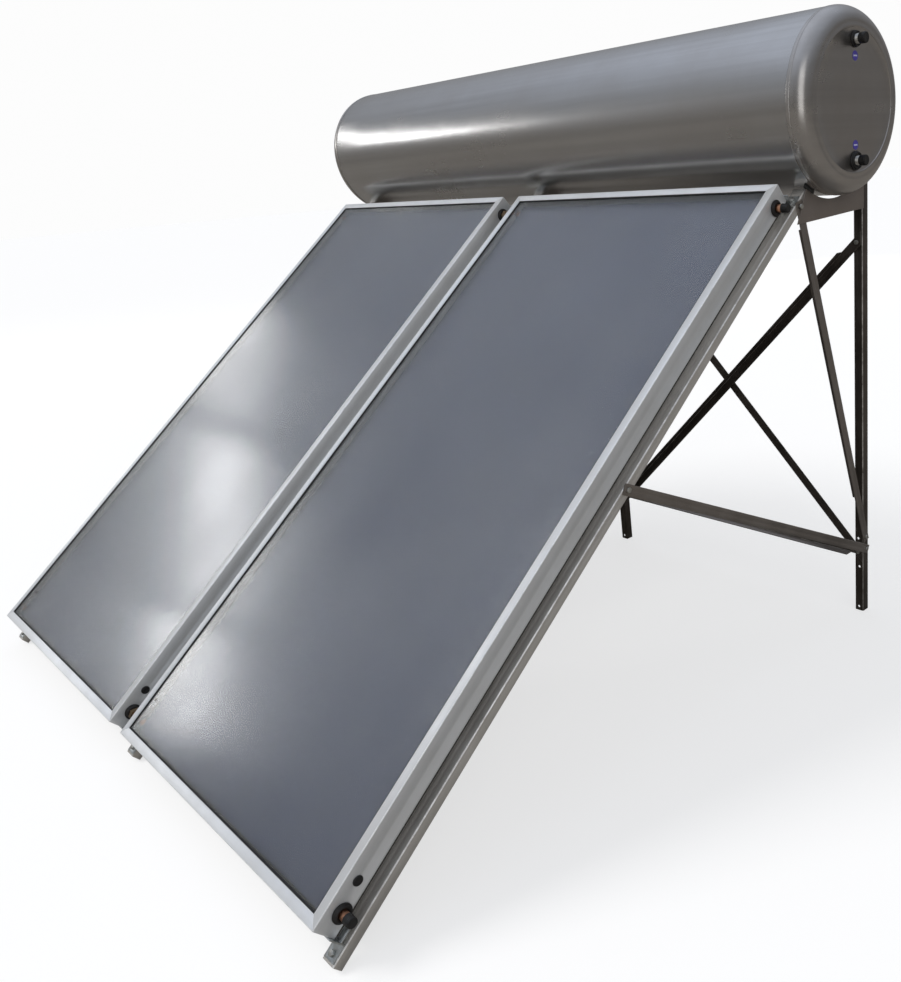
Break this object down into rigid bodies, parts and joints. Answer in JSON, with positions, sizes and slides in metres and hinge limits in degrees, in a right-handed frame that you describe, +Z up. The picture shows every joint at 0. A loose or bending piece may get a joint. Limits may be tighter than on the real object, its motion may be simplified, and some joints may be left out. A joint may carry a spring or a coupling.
{
  "type": "solar water heater",
  "caption": "Solar water heater with a horizontal insulated storage tank above sloping flat-plate collectors on an angle-steel stand, with pull-off caps on its pipe ports.",
  "frame": {"origin": "on the ground under the middle of the tank, at the centre of the bounding box's bottom", "axes": "+X along the tank, +Y from the low front edge of the collectors to the rear legs, +Z up"},
  "size_m": [2.5462, 2.1086, 1.9081],
  "materials": {
    "casing_aluminium": "mill-finished extrusion",
    "collector_glass": "low-iron tempered glass, faint surface figure",
    "glass_seal_rubber": "extruded rubber",
    "absorber_coating": "dark blue selective coating",
    "copper": "drawn copper tube, lightly oxidised",
    "grommet_rubber": "moulded",
    "vent_plastic": "moulded",
    "union_brass": "machined",
    "mineral_wool": "pressed fibre",
    "back_sheet": "embossed sheet",
    "tank_steel": "bright satin, rolled lengthwise streaks",
    "tank_end_steel": "satin pressing",
    "foam": "rigid foam",
    "vessel_steel": "welded sheet",
    "nipple_steel": "threaded pipe end",
    "collar_rubber": "moulded",
    "mark_plastic": "printed disc, plain bar only",
    "cap_plastic": "moulded",
    "stand_steel": "dark grey-brown coating over cold-rolled angle",
    "saddle_steel": "dark grey-brown coating",
    "rail_steel": "dark coating, worn bright along the outer bend",
    "bracket_zinc": "galvanised sheet",
    "pad_rubber": "cut sheet",
    "fastener_zinc": "zinc plated"
  },
  "bodies": {
    "heater": {"absorber_risers": "copper", "bolts": "fastener_zinc", "brace_spacers": "fastener_zinc", "cross_brace_falling": "stand_steel", "cross_brace_rising": "stand_steel", "foot_brackets": "bracket_zinc", "header_grommets": "grommet_rubber", "header_unions": "union_brass", "nuts": "fastener_zinc", "panel_backs": "back_sheet", "panel_left_absorber": "absorber_coating", "panel_left_frame_east": "casing_aluminium", "panel_left_frame_high": "casing_aluminium", "panel_left_frame_low": "casing_aluminium", "panel_left_frame_west": "casing_aluminium", "panel_left_glass": "collector_glass", "panel_left_header_high": "copper", "panel_left_header_low": "copper", "panel_left_seal": "glass_seal_rubber", "panel_right_absorber": "absorber_coating", "panel_right_frame_east": "casing_aluminium", "panel_right_frame_high": "casing_aluminium", "panel_right_frame_low": "casing_aluminium", "panel_right_frame_west": "casing_aluminium", "panel_right_glass": "collector_glass", "panel_right_header_high": "copper", "panel_right_header_low": "copper", "panel_right_seal": "glass_seal_rubber", "panel_wool": "mineral_wool", "rail_left": "rail_steel", "rail_mid": "rail_steel", "rail_right": "rail_steel", "rear_leg_left": "stand_steel", "rear_leg_mid": "stand_steel", "rear_leg_right": "stand_steel", "rear_tie": "stand_steel", "saddle_left": "saddle_steel", "saddle_mid": "saddle_steel", "saddle_pads": "pad_rubber", "saddle_right": "saddle_steel", "side_braces": "stand_steel", "side_struts": "stand_steel", "tank_end_cap_left": "tank_end_steel", "tank_end_cap_right": "tank_end_steel", "tank_foam": "foam", "tank_inner_vessel": "vessel_steel", "tank_port_collars": "collar_rubber", "tank_port_marks": "mark_plastic", "tank_port_nipples": "nipple_steel", "tank_shell": "tank_steel", "top_brackets": "bracket_zinc", "vent_plugs": "vent_plastic"},
    "port_cap_left_high": {"port_cap_left_high": "cap_plastic"},
    "port_cap_left_low": {"port_cap_left_low": "cap_plastic"},
    "port_cap_right_high": {"port_cap_right_high": "cap_plastic"},
    "port_cap_right_low": {"port_cap_right_low": "cap_plastic"},
    "stub_cap_left_high": {"stub_cap_left_high": "cap_plastic"},
    "stub_cap_left_low": {"stub_cap_left_low": "cap_plastic"},
    "stub_cap_right_high": {"stub_cap_right_high": "cap_plastic"},
    "stub_cap_right_low": {"stub_cap_right_low": "cap_plastic"}
  },
  "joints": [
    {"name": "port_cap_left_high_pull", "type": "slide", "parent": "heater", "child": "port_cap_left_high", "axis": [-1, 0, 0], "range_m": [0, 0.03]},
    {"name": "port_cap_left_low_pull", "type": "slide", "parent": "heater", "child": "port_cap_left_low", "axis": [-1, 0, 0], "range_m": [0, 0.03]},
    {"name": "port_cap_right_high_pull", "type": "slide", "parent": "heater", "child": "port_cap_right_high", "axis": [1, 0, 0], "range_m": [0, 0.03]},
    {"name": "port_cap_right_low_pull", "type": "slide", "parent": "heater", "child": "port_cap_right_low", "axis": [1, 0, 0], "range_m": [0, 0.03]},
    {"name": "stub_cap_left_high_pull", "type": "slide", "parent": "heater", "child": "stub_cap_left_high", "axis": [-1, 0, 0], "range_m": [0, 0.03]},
    {"name": "stub_cap_left_low_pull", "type": "slide", "parent": "heater", "child": "stub_cap_left_low", "axis": [-1, 0, 0], "range_m": [0, 0.03]},
    {"name": "stub_cap_right_high_pull", "type": "slide", "parent": "heater", "child": "stub_cap_right_high", "axis": [1, 0, 0], "range_m": [0, 0.03]},
    {"name": "stub_cap_right_low_pull", "type": "slide", "parent": "heater", "child": "stub_cap_right_low", "axis": [1, 0, 0], "range_m": [0, 0.03]}
  ]
}
